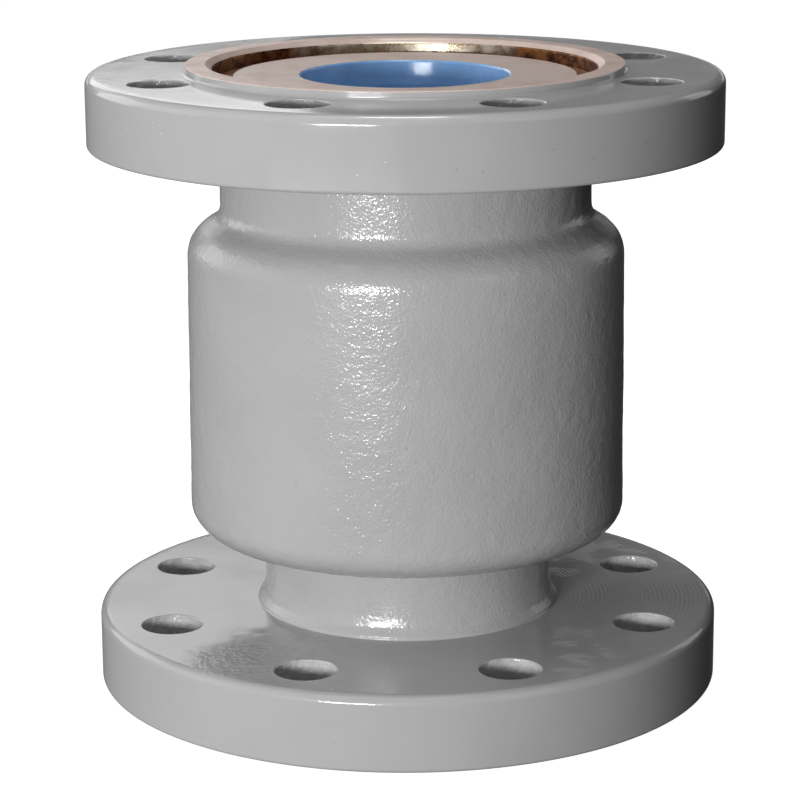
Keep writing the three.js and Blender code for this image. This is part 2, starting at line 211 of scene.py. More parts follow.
def turned(name, outline, segments=SMALL_SEGMENTS):
    """Turns an anticlockwise outline about Z. It is closed, or it starts and ends on the axis."""
    on_axis = outline[0][0] == 0
    rings = outline[1:-1] if on_axis else outline
    radii = np.array([p[0] for p in rings])
    heights = np.array([p[1] for p in rings])
    angles = np.arange(segments) * 2 * math.pi / segments
    x = np.outer(radii, np.cos(angles)).ravel()
    y = np.outer(radii, np.sin(angles)).ravel()
    vertices = np.column_stack([x, y, np.repeat(heights, segments)])
    faces = []
    last = len(rings) - 1
    for i in range(last if on_axis else last + 1):
        low = i * segments
        high = ((i + 1) % len(rings)) * segments
        for s in range(segments):
            t = (s + 1) % segments
            faces.append((low + s, low + t, high + t, high + s))
    if on_axis:
        poles = [(0, 0, outline[0][1]), (0, 0, outline[-1][1])]
        vertices = np.vstack([vertices, poles])
        bottom, top = len(vertices) - 2, len(vertices) - 1
        for s in range(segments):
            t = (s + 1) % segments
            faces.append((bottom, t, s))
            faces.append((top, last * segments + s, last * segments + t))
    return make_object(name, vertices, faces)


def column_faces(count):
    """Ends and sides of a column, whose two ends have count vertices each."""
    faces = [tuple(range(count - 1, -1, -1)), tuple(range(count, 2 * count))]
    for i in range(count):
        j = (i + 1) % count
        faces.append((i, j, count + j, count + i))
    return faces


def prism(name, outline, bottom, top):
    """A straight column over an anticlockwise outline of (x, y) points."""
    vertices = [(x, y, bottom) for x, y in outline] + [(x, y, top) for x, y in outline]
    return make_object(name, vertices, column_faces(len(outline)))


def cylinder(radius, bottom, top, segments=SMALL_SEGMENTS):
    outline = [(0, bottom), (radius, bottom), (radius, top), (0, top)]
    return turned("tool", outline, segments)


def hexagon(across_corners):
    angles = [math.radians(60 * k) for k in range(6)]
    return [(across_corners / 2 * math.cos(a), across_corners / 2 * math.sin(a)) for a in angles]


def placed(made, circle, degrees):
    """Moves a piece out along X and then round the axis, in its mesh."""
    turn = Matrix.Rotation(math.radians(degrees), 4, "Z")
    made.data.transform(turn @ Matrix.Translation((circle * MM, 0, 0)))
    return made


def around(make, count, circle, first_degrees):
    return [placed(make(), circle, first_degrees + 360 * i / count) for i in range(count)]


def joined(parts):
    """Puts meshes that don't touch into the first one."""
    bpy.ops.object.select_all(action="DESELECT")
    for part in parts:
        part.select_set(True)
    bpy.context.view_layer.objects.active = parts[0]
    bpy.ops.object.join()
    return parts[0]


def boolean(base, tool, operation):
    modifier = base.modifiers.new("boolean", "BOOLEAN")
    modifier.operation = operation
    modifier.solver = "MANIFOLD"
    modifier.object = tool
    bpy.context.view_layer.objects.active = base
    bpy.ops.object.modifier_apply(modifier=modifier.name)
    bpy.data.objects.remove(tool)
    return base


def cut(base, tools):
    return boolean(base, joined(tools), "DIFFERENCE")


def fused(parts):
    base, *others = parts
    for other in others:
        boolean(base, other, "UNION")
    return base


def shade(made, sharp_degrees=32):
    """Smooth shading between sharp edges, with flat faces kept flat in their shading."""
    made.data.shade_smooth()
    made.data.set_sharp_from_angle(angle=math.radians(sharp_degrees))
    modifier = made.modifiers.new("normals", "WEIGHTED_NORMAL")
    modifier.keep_sharp = True
    modifier.weight = 90
    return made


def finished(made, name, body, node_names, materials, pick=None):
    """Names a piece, gives it its materials, ties it to its body and hides the imported parts named
    in node_names.
    pick(radius, z, up) gives a face's material number from its centre and how far it faces up."""
    made.name = name
    made.data.name = name
    made.data.materials.clear()
    for each in materials:
        made.data.materials.append(each)
    if pick:
        for face in made.data.polygons:
            centre = face.center / MM
            face.material_index = pick(math.hypot(centre.x, centre.y), centre.z, face.normal.z)
    shade(made)
    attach(made, body)
    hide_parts(*node_names)
    return made


# ---- materials

class Surface:
    """A material under construction: its node tree, its shader, and short ways to add nodes."""

    def __init__(self, name, **settings):
        self.material = bpy.data.materials.new(name)
        self.material.use_nodes = True
        self.tree = self.material.node_tree
        self.shader = self.tree.nodes["Principled BSDF"]
        for socket, value in settings.items():
            self.shader.inputs[socket.replace("_", " ")].default_value = value
        self.place = self.node("ShaderNodeTexCoord").outputs["Object"]

    def node(self, kind, settings=None, **inputs):
        made = self.tree.nodes.new(kind)
        for key, value in (settings or {}).items():
            setattr(made, key, value)
        for socket, value in inputs.items():
            self.feed(made.inputs[socket.replace("_", " ")], value)
        return made

    def feed(self, socket, value):
        if isinstance(value, bpy.types.NodeSocket):
            self.tree.links.new(value, socket)
        else:
            socket.default_value = value

    def math(self, operation, first, second=0.0):
        made = self.node("ShaderNodeMath", {"operation": operation})
        self.feed(made.inputs[0], first)
        self.feed(made.inputs[1], second)
        return made.outputs[0]

    def stretched(self, x, y, z):
        made = self.node("ShaderNodeVectorMath", {"operation": "MULTIPLY"})
        self.feed(made.inputs[0], self.place)
        self.feed(made.inputs[1], (x, y, z))
        return made.outputs[0]

    def noise(self, size, detail=3.0, roughness=0.5, vector=None):
        """Noise with features of about the given size in millimetres."""
        vector = self.place if vector is None else vector
        scale = 1 / (size * MM)
        made = self.node("ShaderNodeTexNoise", Vector=vector, Scale=scale, Detail=detail,
                         Roughness=roughness)
        return made.outputs["Fac"]

    def spots(self, size):
        """Distance to the nearest of many scattered points, small at each point."""
        made = self.node("ShaderNodeTexVoronoi", Vector=self.place, Scale=1 / (size * MM))
        return made.outputs["Distance"]

    def radius(self):
        made = self.node("ShaderNodeVectorMath", {"operation": "LENGTH"})
        self.feed(made.inputs[0], self.stretched(1, 1, 0))
        return made.outputs["Value"]

    def reach(self, centre):
        """Distance from a point given in millimetres."""
        made = self.node("ShaderNodeVectorMath", {"operation": "DISTANCE"})
        self.feed(made.inputs[0], self.place)
        self.feed(made.inputs[1], tuple(Vector(centre) * MM))
        return made.outputs["Value"]

    def height(self):
        made = self.node("ShaderNodeSeparateXYZ", Vector=self.place)
        return made.outputs["Z"]

    def grooves(self, distance, pitch):
        """Even tool marks, one every pitch millimetres along a distance."""
        return self.math("SINE", self.math("MULTIPLY", distance, 2 * math.pi / (pitch * MM)))

    def ranged(self, value, low, high, new_low=0.0, new_high=1.0):
        made = self.node("ShaderNodeMapRange", {"interpolation_type": "SMOOTHSTEP"})
        self.feed(made.inputs["Value"], value)
        made.inputs["From Min"].default_value = low
        made.inputs["From Max"].default_value = high
        made.inputs["To Min"].default_value = new_low
        made.inputs["To Max"].default_value = new_high
        return made.outputs["Result"]

    def blend(self, amount, first, second):
        made = self.node("ShaderNodeMix", {"data_type": "RGBA"})
        self.feed(made.inputs["Factor"], amount)
        self.feed(made.inputs[6], first)
        self.feed(made.inputs[7], second)
        return made.outputs[2]

    def bumped(self, *layers):
        """Layers of (height socket, depth in millimetres), stacked into one normal."""
        normal = None
        for value, depth in layers:
            made = self.node("ShaderNodeBump", Height=value, Strength=1.0, Distance=depth * MM)
            if normal:
                self.feed(made.inputs["Normal"], normal)
            normal = made.outputs["Normal"]
        self.feed(self.shader.inputs["Normal"], normal)

    def set(self, socket, value):
        self.feed(self.shader.inputs[socket], value)


def grey(level):
    return (level, level, level, 1)


PAINT = 0.40
# Paler grey for the bolt holes' walls: painted light standing in for light bounced into them.
HOLE_PAINT_WITH_PAINTED_LIGHT = 0.50
ROUGH_PATCH = (-56, -77, FLANGE_TOP)
SMOOTH_SIDE = (-95, 0, FLANGE_TOP)


def cast_paint():
    """Glossy grey enamel over a rough casting: swells, orange peel, pits and a few dark specks."""
    s = Surface("grey_enamel_on_casting", Specular_IOR_Level=0.5)
    tone = s.blend(s.ranged(s.noise(38, 4), 0.3, 0.7), grey(PAINT * 0.97), grey(PAINT * 1.03))
    speck = s.ranged(s.spots(11), 0.03, 0.06, 1, 0)
    s.set("Base Color", s.blend(s.math("MULTIPLY", speck, 0.25), tone, grey(0.18)))
    s.set("Roughness", s.ranged(s.noise(14, 3), 0.3, 0.7, 0.15, 0.20))
    pits = s.ranged(s.spots(5), 0.05, 0.16)
    s.bumped((s.noise(9, 2), 0.16), (s.noise(2.6, 1), 0.12), (s.noise(1.05, 1), 0.19), (pits, 0.05))
    return s.material


def flange_paint():
    """The same enamel on turned faces: smoother, over faint tool rings, one patch left rough."""
    s = Surface("grey_enamel_on_turned_faces", Specular_IOR_Level=0.5)
    tone = s.blend(s.ranged(s.noise(30, 4), 0.3, 0.7), grey(PAINT * 0.98), grey(PAINT * 1.02))
    speck = s.ranged(s.spots(12), 0.028, 0.05, 1, 0)
    dust = s.ranged(s.spots(8), 0.025, 0.045, 1, 0)
    dusty = s.blend(s.math("MULTIPLY", dust, 0.6), tone, grey(0.85))
    s.set("Base Color", s.blend(s.math("MULTIPLY", speck, 0.3), dusty, grey(0.16)))
    s.set("Roughness", s.ranged(s.noise(20, 3), 0.3, 0.7, 0.10, 0.15))
    thin = s.math("MULTIPLY", s.ranged(s.reach(SMOOTH_SIDE), 0.09, 0.14),
                  s.ranged(s.noise(11, 2), 0.4, 0.62))
    on_lower = s.ranged(s.height(), 0.04, 0.06, 1, 0)
    rings = s.math("MULTIPLY", s.grooves(s.radius(), 1.7), s.math("MULTIPLY", thin, on_lower))
    edge = s.math("ADD", s.reach(ROUGH_PATCH), s.math("MULTIPLY", s.noise(9, 2), 0.016))
    lumps = s.math("SUBTRACT", s.noise(2.8, 3, 0.6), 0.5)
    rough = s.math("MULTIPLY", lumps, s.ranged(edge, 0.018, 0.040, 1, 0))
    s.bumped((s.noise(16, 1), 0.03), (s.noise(2.4, 1), 0.03), (rings, 0.03), (rough, 0.75))
    return s.material


def hole_paint_with_painted_light():
    """Thick paint inside the bolt holes, run and beaded, its grey painted paler than outside as
    painted light bounced into the holes.
    """
    s = Surface("grey_enamel_in_bolt_holes_painted_lighter", Specular_IOR_Level=0.6)
    tone = s.blend(s.ranged(s.noise(5, 3), 0.35, 0.65), grey(HOLE_PAINT_WITH_PAINTED_LIGHT * 0.8), grey(HOLE_PAINT_WITH_PAINTED_LIGHT))
    s.set("Base Color", tone)
    s.set("Roughness", s.ranged(s.noise(6, 3), 0.3, 0.7, 0.08, 0.2))
    s.bumped((s.noise(3.4, 2), 0.8), (s.noise(1.4, 2), 0.3))
    return s.material


def machined_face(name, colour, stain, pitch):
    """A bare turned gasket face: fine rings, a dull sheen and smears of handling."""
    s = Surface(name, Metallic=0.1)
    smear = s.noise(16, 5, 0.6)
    ring = s.grooves(s.radius(), pitch)
    tone = s.blend(s.ranged(smear, 0.42, 0.72), colour, stain)
    s.set("Base Color", s.blend(s.ranged(ring, -1, 1, 0, 0.12), tone, stain))
    s.set("Roughness", s.ranged(s.noise(7, 4), 0.3, 0.7, 0.36, 0.5))
    s.bumped((ring, 0.015), (s.noise(3, 3), 0.03))
    return s.material


def far_side(s):
    """How far back in the counterbore a point is: -1 at its front, 1 at its far side."""
    place = s.node("ShaderNodeSeparateXYZ", Vector=s.place)
    return s.math("DIVIDE", place.outputs["Y"], COUNTERBORE_RADIUS * MM)


def oily_counterbore():
    """Bare iron of the counterbore wall under a brown film of oil, painted gold to silver at its
    far side, which faces the front lights: a painted reflection.
    """
    s = Surface("oily_bare_metal_with_painted_reflection", Metallic=0.9)
    film = s.noise(5, 5, 0.65)
    brown = s.blend(s.ranged(film, 0.35, 0.65), (0.07, 0.022, 0.008, 1), (0.30, 0.13, 0.045, 1))
    # Gold to silver on the far side: a painted reflection of the front lights.
    painted_reflection = s.blend(s.ranged(film, 0.4, 0.7), (0.52, 0.43, 0.30, 1), (0.78, 0.75, 0.69, 1))
    behind = s.math("ADD", far_side(s), s.math("MULTIPLY", s.noise(12, 3), 0.3))
    s.set("Base Color", s.blend(s.ranged(behind, 0.90, 1.12), brown, painted_reflection))
    s.set("Roughness", s.ranged(film, 0.3, 0.7, 0.2, 0.4))
    s.bumped((s.grooves(s.height(), 0.5), 0.012), (film, 0.08))
    return s.material


def rusty_ledge():
    """The outer step of the seat ring, where oil and rust have gathered."""
    s = Surface("stained_bronze", Metallic=0.35)
    blot = s.noise(6, 5, 0.65)
    s.set("Base Color", s.blend(s.ranged(blot, 0.35, 0.65), (0.09, 0.030, 0.014, 1),
                                (0.30, 0.13, 0.075, 1)))
    s.set("Roughness", s.ranged(blot, 0.3, 0.7, 0.3, 0.55))
    s.bumped((blot, 0.08), (s.grooves(s.radius(), 0.8), 0.01))
    return s.material


def blue_epoxy(name, level):
    """Smooth blue epoxy coat, a little orange peel in it. A level above 1 paints it lighter, as
    painted light.
    """
    s = Surface(name, Coat_Weight=0.5, Coat_Roughness=0.14)
    dark = (0.085 * level, 0.17 * level, 0.30 * level, 1)
    light = (0.115 * level, 0.22 * level, 0.38 * level, 1)
    s.set("Base Color", s.blend(s.ranged(s.noise(15, 4), 0.3, 0.7), dark, light))
    s.set("Roughness", s.ranged(s.noise(8, 3), 0.3, 0.7, 0.18, 0.28))
    s.bumped((s.noise(3.5, 2), 0.10), (s.noise(20, 2), 0.15))
    return s.material


def turned_metal(name, dark, light, roughness, pitch, axis="radius"):
    """Machined metal with fine tool marks along its radius or its height, and slight tarnish."""
    s = Surface(name, Metallic=1.0)
    marks = s.grooves(getattr(s, axis)(), pitch)
    tarnish = s.noise(10, 4, 0.6)
    tone = s.blend(s.ranged(tarnish, 0.35, 0.7), light, dark)
    s.set("Base Color", s.blend(s.ranged(marks, -1, 1, 0, 0.12), tone, dark))
    s.set("Roughness", s.ranged(s.noise(5, 3), 0.3, 0.7, roughness * 0.8, roughness * 1.25))
    s.bumped((marks, 0.006), (tarnish, 0.02))
    return s.material


def drawn_wire():
    """Drawn spring wire: dull grey, with fine scratches and darker patches."""
    s = Surface("drawn_spring_wire", Metallic=1.0)
    patch = s.noise(4, 4, 0.6)
    s.set("Base Color", s.blend(s.ranged(patch, 0.35, 0.7), grey(0.36), (0.20, 0.19, 0.18, 1)))
    s.set("Roughness", s.ranged(patch, 0.3, 0.7, 0.28, 0.45))
    s.bumped((s.noise(0.5, 2, vector=s.stretched(1, 1, 5)), 0.01), (patch, 0.02))
    return s.material


def black_rubber():
    """Moulded rubber with a fine grain and a slight bloom."""
    s = Surface("black_rubber", Specular_IOR_Level=0.4)
    bloom = s.noise(6, 4)
    s.set("Base Color", s.blend(s.ranged(bloom, 0.4, 0.75), grey(0.018), grey(0.05)))
    s.set("Roughness", s.ranged(bloom, 0.3, 0.7, 0.52, 0.72))
    s.bumped((s.noise(0.6, 2), 0.02), (bloom, 0.03))
    return s.material


def pale_floor():
    """A plain pale studio floor. Its own glow keeps it near white, and it is clear from below."""
    s = Surface("pale_floor", Roughness=0.7, Emission_Color=(1, 1, 1, 1), Emission_Strength=0.95)
    s.set("Base Color", s.blend(s.ranged(s.noise(400, 3), 0.3, 0.7), grey(0.42), grey(0.46)))
    clear = s.node("ShaderNodeBsdfTransparent").outputs["BSDF"]
    under = s.node("ShaderNodeNewGeometry").outputs["Backfacing"]
    seen = s.node("ShaderNodeMixShader", Fac=under)
    s.feed(seen.inputs[1], s.shader.outputs["BSDF"])
    s.feed(seen.inputs[2], clear)
    s.feed(s.tree.nodes["Material Output"].inputs["Surface"], seen.outputs["Shader"])
    return s.material


CAST_PAINT = cast_paint()
FLANGE_PAINT = flange_paint()
HOLE_ENAMEL_WITH_PAINTED_LIGHT = hole_paint_with_painted_light()
RAISED_FACE_METAL = machined_face("bare_raised_face", (0.68, 0.54, 0.48, 1), (0.55, 0.42, 0.36, 1),
                                  1.1)
SEAT_LAND_METAL = machined_face("bare_seat_land", (0.66, 0.54, 0.49, 1), (0.56, 0.43, 0.38, 1),
                                0.9)
OILY_METAL_WITH_PAINTED_REFLECTION = oily_counterbore()
STAINED_BRONZE = rusty_ledge()
# The bore's coat is the guide's blue epoxy made 2.4 times as light: painted light in the deep bore.
BORE_EPOXY_PAINTED_LIGHTER = blue_epoxy("blue_epoxy_in_bore_painted_lighter", 2.4)
GUIDE_EPOXY = blue_epoxy("blue_epoxy_on_guide", 1.0)
SEAT_BRONZE = turned_metal("turned_bronze", (0.30, 0.17, 0.09, 1), (0.58, 0.36, 0.20, 1), 0.3, 0.7,
                           "height")
BUSH_BRONZE = turned_metal("bush_bronze", (0.40, 0.24, 0.08, 1), (0.70, 0.45, 0.16, 1), 0.3, 0.4,
                           "height")
STAINLESS = turned_metal("turned_stainless", (0.32, 0.32, 0.33, 1), (0.60, 0.60, 0.61, 1), 0.3, 0.8)
POLISHED = turned_metal("polished_stem", (0.50, 0.50, 0.51, 1), (0.70, 0.70, 0.71, 1), 0.14, 0.5,
                        "height")
SCREW_STEEL = turned_metal("screw_steel", (0.28, 0.29, 0.31, 1), (0.55, 0.57, 0.60, 1), 0.28, 0.35)
SPRING_WIRE = drawn_wire()
RUBBER = black_rubber()


# ---- casting

def casting_outside():
    """The casting's outer line, from the outlet mouth up to the inlet face."""
    foot_middle = (NECK_FOOT_RADIUS + 2 * LOWER_NECK_RADIUS) / 3
    top_radius = BARREL_RADIUS - BARREL_TAPER
    shoulder_centre = top_radius - SHOULDER_RADIUS
    sweep = math.radians(SHOULDER_SWEEP)
    end_radius = shoulder_centre + SHOULDER_RADIUS * math.cos(sweep)
    end_z = SHOULDER_Z + SHOULDER_RADIUS * math.sin(sweep)
    waist_centre = UPPER_NECK_RADIUS + WAIST_FILLET
    waist_start = waist_centre - WAIST_FILLET * math.cos(sweep)
    waist_z = end_z + (end_radius - waist_start) / math.tan(sweep) + WAIST_FILLET * math.sin(sweep)
    corner_z = BARREL_BOTTOM + CORNER_HEIGHT
    corner_centre = BARREL_RADIUS - CORNER_WIDTH
    under_fillet = LOWER_NECK_RADIUS + NECK_FILLET
    top_fillet = UPPER_NECK_RADIUS + NECK_FILLET
    return rounded([
        (MOUTH_RADIUS, 0),
        (RAISED_FACE_RADIUS, 0, 0.6),
        (RAISED_FACE_RADIUS, RAISED_FACE, 0.8),
        (FLANGE_RADIUS, RAISED_FACE, FLANGE_UNDER_EDGE),
        (FLANGE_RADIUS, FLANGE_TOP, FLANGE_EDGE),
        (NECK_FOOT_RADIUS, FLANGE_TOP, 0.5),
        (NECK_FOOT_RADIUS, FLANGE_TOP + NECK_FOOT_STEP, 0.5),
        (foot_middle, FLANGE_TOP + NECK_FOOT_HEIGHT / 2, 4),
        (LOWER_NECK_RADIUS, FLANGE_TOP + NECK_FOOT_HEIGHT, 12),
        *arc(under_fillet, BARREL_BOTTOM - NECK_FILLET, NECK_FILLET, 180, 90, 8),
        *arc(corner_centre, corner_z, CORNER_WIDTH, -90, 0, 18, CORNER_HEIGHT),
        *arc(shoulder_centre, SHOULDER_Z, SHOULDER_RADIUS, 0, SHOULDER_SWEEP, 12),
        *arc(waist_centre, waist_z, WAIST_FILLET, 180 + SHOULDER_SWEEP, 180, 6),
        *arc(top_fillet, UPPER_FLANGE_BOTTOM - NECK_FILLET, NECK_FILLET, 180, 90, 8),
        (FLANGE_RADIUS, UPPER_FLANGE_BOTTOM, FLANGE_UNDER_EDGE),
        (FLANGE_RADIUS, UPPER_FLANGE_TOP, FLANGE_EDGE),
        (RAISED_FACE_RADIUS, UPPER_FLANGE_TOP, 0.9),
        (RAISED_FACE_RADIUS, FACE_TO_FACE, 0.5),
        (COUNTERBORE_RADIUS + COUNTERBORE_CHAMFER, FACE_TO_FACE),
    ], closed=False, steps=7)


def casting_inside():
    """The casting's inner line, from the inlet face down to the outlet mouth."""
    top_radius = BARREL_RADIUS - BARREL_TAPER
    shoulder_centre = top_radius - SHOULDER_RADIUS
    inner_arc = SHOULDER_RADIUS - CASTING_WALL
    sweep = math.radians(SHOULDER_SWEEP)
    slope_radius = shoulder_centre + inner_arc * math.cos(sweep)
    slope_z = SHOULDER_Z + inner_arc * math.sin(sweep)
    bore_end = slope_z + (slope_radius - NECK_BORE) / math.tan(sweep)
    floor_centre = BARREL_RADIUS - CASTING_WALL - CAVITY_CORNER
    return rounded([
        (COUNTERBORE_RADIUS + COUNTERBORE_CHAMFER, FACE_TO_FACE),
        (COUNTERBORE_RADIUS, FACE_TO_FACE - COUNTERBORE_CHAMFER_DEPTH, 0.8),
        (COUNTERBORE_RADIUS, COUNTERBORE_FLOOR, 0.5),
        (NECK_BORE, COUNTERBORE_FLOOR, 0.5),
        (NECK_BORE, bore_end, 2),
        *arc(shoulder_centre, SHOULDER_Z, inner_arc, SHOULDER_SWEEP, 0, 6),
        *arc(floor_centre, CAVITY_FLOOR + CAVITY_CORNER, CAVITY_CORNER, 0, -90, 8),
        (THROAT_RADIUS, CAVITY_FLOOR, 1.5),
        (THROAT_RADIUS, FLANGE_TOP, 20),
        (MOUTH_RADIUS, 0),
    ], closed=False)


def bolt_hole_tool(bottom, top):
    """A cutter for one bolt hole that leaves rounded lips, like the paint's."""
    wide = BOLT_HOLE + BOLT_HOLE_LIP
    beyond = 2
    outline = [
        (0, bottom - beyond),
        (wide, bottom - beyond),
        *arc(wide, bottom + BOLT_HOLE_LIP, BOLT_HOLE_LIP, 270, 180, 5),
        *arc(wide, top - BOLT_HOLE_LIP, BOLT_HOLE_LIP, 180, 90, 5),
        (wide, top + beyond),
        (0, top + beyond),
    ]
    return turned("tool", outline, SMALL_SEGMENTS)


# Size and depth of the casting's unevenness.
SWELL = (26, 0.22)
PEEL = (4.2, 0.10)
GRAIN = (2.1, 0.05)
LUMPS = (5.5, 0.30)
# Where the lumps on the lower flange are thickest, and how far they spread, in degrees round it.
LUMPS_BEARING = -118
LUMPS_SPREAD = 34


def uneven(place, size, depth):
    return noise.noise(place / size) * depth


def cast_skin(made):
    """Gives necks and barrel the uneven skin of a sand casting, and the lower flange's top slight
    swells and a lumpy patch."""
    mesh = made.data
    count = len(mesh.vertices)
    places = np.zeros(count * 3, np.float32)
    mesh.vertices.foreach_get("co", places)
    normals = np.zeros(count * 3, np.float32)
    mesh.vertex_normals.foreach_get("vector", normals)
    places = places.reshape(-1, 3)
    normals = normals.reshape(-1, 3)
    radii = np.hypot(places[:, 0], places[:, 1]) / MM
    heights = places[:, 2] / MM
    outward = normals[:, 0] * places[:, 0] + normals[:, 1] * places[:, 1]
    low_edge = FLANGE_TOP + NECK_FOOT_STEP
    skin = (heights > low_edge) & (heights < UPPER_FLANGE_BOTTOM - 0.5) & (radii > 53)
    skin &= (outward > -1e-4) | (normals[:, 2] < -0.5)
    skin &= radii < BARREL_RADIUS + 1
    rough_patch = (np.abs(heights - FLANGE_TOP) < 0.05) & (radii > NECK_FOOT_RADIUS + 2)
    rough_patch &= radii < FLANGE_RADIUS - FLANGE_EDGE - 1
    for i in np.nonzero(skin | rough_patch)[0]:
        place = Vector(places[i]) / MM
        swell = uneven(place, *SWELL)
        peel = uneven(place, *PEEL)
        grain = uneven(place, *GRAIN)
        if skin[i]:
            edge = min(1, (heights[i] - low_edge) / 3, (UPPER_FLANGE_BOTTOM - heights[i]) / 3)
            amount = (swell + peel + grain) * edge
        else:
            bearing = math.degrees(math.atan2(places[i][1], places[i][0]))
            near = max(0, 1 - abs(bearing - LUMPS_BEARING) / LUMPS_SPREAD)
            rim = min(1, (FLANGE_RADIUS - FLANGE_EDGE - radii[i]) / 6)
            lump = uneven(place, *LUMPS) + peel
            amount = lump * near * rim + swell * 0.12 * rim
        places[i] += normals[i] * float(amount) * MM
    mesh.vertices.foreach_set("co", places.ravel())
    mesh.update()
    return made


def casting_tools():
    """Cutters for the bolt holes of both flanges and for the screws of seat ring and guide."""
    def lower():
        return bolt_hole_tool(RAISED_FACE, FLANGE_TOP)

    def upper():
        return bolt_hole_tool(UPPER_FLANGE_BOTTOM, UPPER_FLANGE_TOP)

    def seat_hole():
        return cylinder(SCREW_HOLE, SEAT_HOLE_BOTTOM, COUNTERBORE_FLOOR + 1)

    def guide_hole():
        return cylinder(SCREW_HOLE, GUIDE_HOLE_BOTTOM, CAVITY_FLOOR + 1)

    return [
        *around(lower, BOLT_COUNT, BOLT_CIRCLE, 180 / BOLT_COUNT),
        *around(upper, BOLT_COUNT, BOLT_CIRCLE, 180 / BOLT_COUNT),
        *around(seat_hole, SEAT_SCREW_COUNT, SEAT_SCREW_CIRCLE, SEAT_SCREW_TURN),
        *around(guide_hole, GUIDE_SCREW_COUNT, GUIDE_SCREW_CIRCLE, 0),
    ]


def casting():
    """The one-piece cast body with both flanges."""
    def spacing(radius, z):
        on_skin = FLANGE_TOP < z < UPPER_FLANGE_BOTTOM
        on_lower_face = abs(z - FLANGE_TOP) < 0.1 and radius < FLANGE_RADIUS
        if on_skin:
            return CAST_SPACING
        return LOWER_FACE_SPACING if on_lower_face else FACE_SPACING

    outside = refined(casting_outside(), spacing)
    inside = refined(casting_inside(), lambda radius, z: INSIDE_SPACING)
    made = turned("casting", outside + inside[1:-1], CAST_SEGMENTS)
    cast_skin(made)
    cut(made, casting_tools())
    paint, turned_paint, bare, oily, in_hole = range(5)

    def pick(radius, z, up):
        near_holes = abs(radius - BOLT_CIRCLE) < BOLT_HOLE + BOLT_HOLE_LIP
        if near_holes and abs(up) < 0.8 and not FLANGE_TOP < z < UPPER_FLANGE_BOTTOM:
            return in_hole
        if z > UPPER_FLANGE_TOP + 1 and up > 0.5 and radius > COUNTERBORE_RADIUS + 0.5:
            return bare
        if z > COUNTERBORE_FLOOR - 0.5 and radius < COUNTERBORE_RADIUS + COUNTERBORE_CHAMFER + 0.3:
            return oily
        if z < 0.5 and up < -0.5:
            return bare
        if FLANGE_TOP + 0.3 < z < UPPER_FLANGE_BOTTOM - 0.3:
            return paint
        return turned_paint

    return finished(
        made, "casting", "valve_body",
        ["outlet_flange", "barrel", "inlet_flange"],
        [CAST_PAINT, FLANGE_PAINT, RAISED_FACE_METAL, OILY_METAL_WITH_PAINTED_REFLECTION, HOLE_ENAMEL_WITH_PAINTED_LIGHT], pick,
    )


# ---- seat ring

def guide_leg(inner, outer, bottom, top, width):
    """One leg between hub and ring, with rounded upper and lower edges, along +X."""
    half = width / 2
    side = [(-half, bottom + half)]
    side += [(half * math.cos(a), bottom + half + half * math.sin(a))
             for a in np.radians(np.linspace(180, 360, 13))[1:]]
    side += [(half * math.cos(a), top - half + half * math.sin(a))
             for a in np.radians(np.linspace(0, 180, 13))]
    vertices = [(inner, y, z) for y, z in side] + [(outer, y, z) for y, z in side]
    return make_object("leg", vertices, column_faces(len(side)))


def seat_ring():
    groove = SPIGOT_RADIUS - 3.2
    groove_bottom = O_RING_Z - 2.2
    groove_top = O_RING_Z + 2.2
    outline = rounded([
        (SEAT_BORE, SEAT_FACE + 1, 0.3),
        (SEAT_BORE + 2, SEAT_FACE, 0.3),
        (SEAT_BORE + 7, SEAT_FACE, 0.5),
        (SEAT_BORE + 9.5, SEAT_FACE + 4, 0.8),
        (SPIGOT_RADIUS, SEAT_FACE + 12, 0.8),
        (SPIGOT_RADIUS, groove_bottom, 0.2),
        (groove, groove_bottom, 0.3),
        (groove, groove_top, 0.3),
        (SPIGOT_RADIUS, groove_top, 0.2),
        (SPIGOT_RADIUS, COUNTERBORE_FLOOR + GAP, 0.3),
        (RING_RADIUS, COUNTERBORE_FLOOR + GAP, 0.3),
        (RING_RADIUS, LEDGE_TOP, 0.5),
        (LAND_RADIUS, LEDGE_TOP, 0.3),
        (LAND_RADIUS, LAND_TOP, 0.5),
        (SEAT_BORE, LAND_TOP, 0.9),
        (SEAT_BORE - BORE_FLARE, LAND_TOP - BORE_FLARE_DEPTH, 3),
        (SEAT_BORE - BORE_FLARE, SEAT_FACE + 9),
    ])
    hub_bottom, hub_top = ends_of("upper_guide_bush")
    hub_radius = 13
    hub = ring_outline(HUB_BORE, hub_radius, hub_bottom, hub_top, (0.4, 1, 1, 0.4))

    def leg():
        return guide_leg(0, SEAT_BORE - 9.5, hub_bottom, hub_top, 5)

    made = fused([
        turned("seat_ring_body", outline, RING_SEGMENTS),
        joined(around(leg, LEG_COUNT, 11, 90)),
        turned("hub", hub, SMALL_SEGMENTS),
    ])

    def hole():
        return cylinder(SCREW_HOLE, COUNTERBORE_FLOOR - 1, LEDGE_TOP + 1)

    cut(made, around(hole, SEAT_SCREW_COUNT, SEAT_SCREW_CIRCLE, SEAT_SCREW_TURN))
    land, ledge, coated, bronze = range(4)

    def pick(radius, z, up):
        if radius < SEAT_BORE + 0.9 and z < LAND_TOP - 0.02:
            return coated
        if radius < LAND_RADIUS + 0.1 and z > LEDGE_TOP + 0.3:
            return land
        return ledge if z > COUNTERBORE_FLOOR else bronze

    return finished(
        made, "seat_ring_body", "valve_body", ["seat_ring"],
        [SEAT_LAND_METAL, STAINED_BRONZE, BORE_EPOXY_PAINTED_LIGHTER, SEAT_BRONZE], pick,
    )


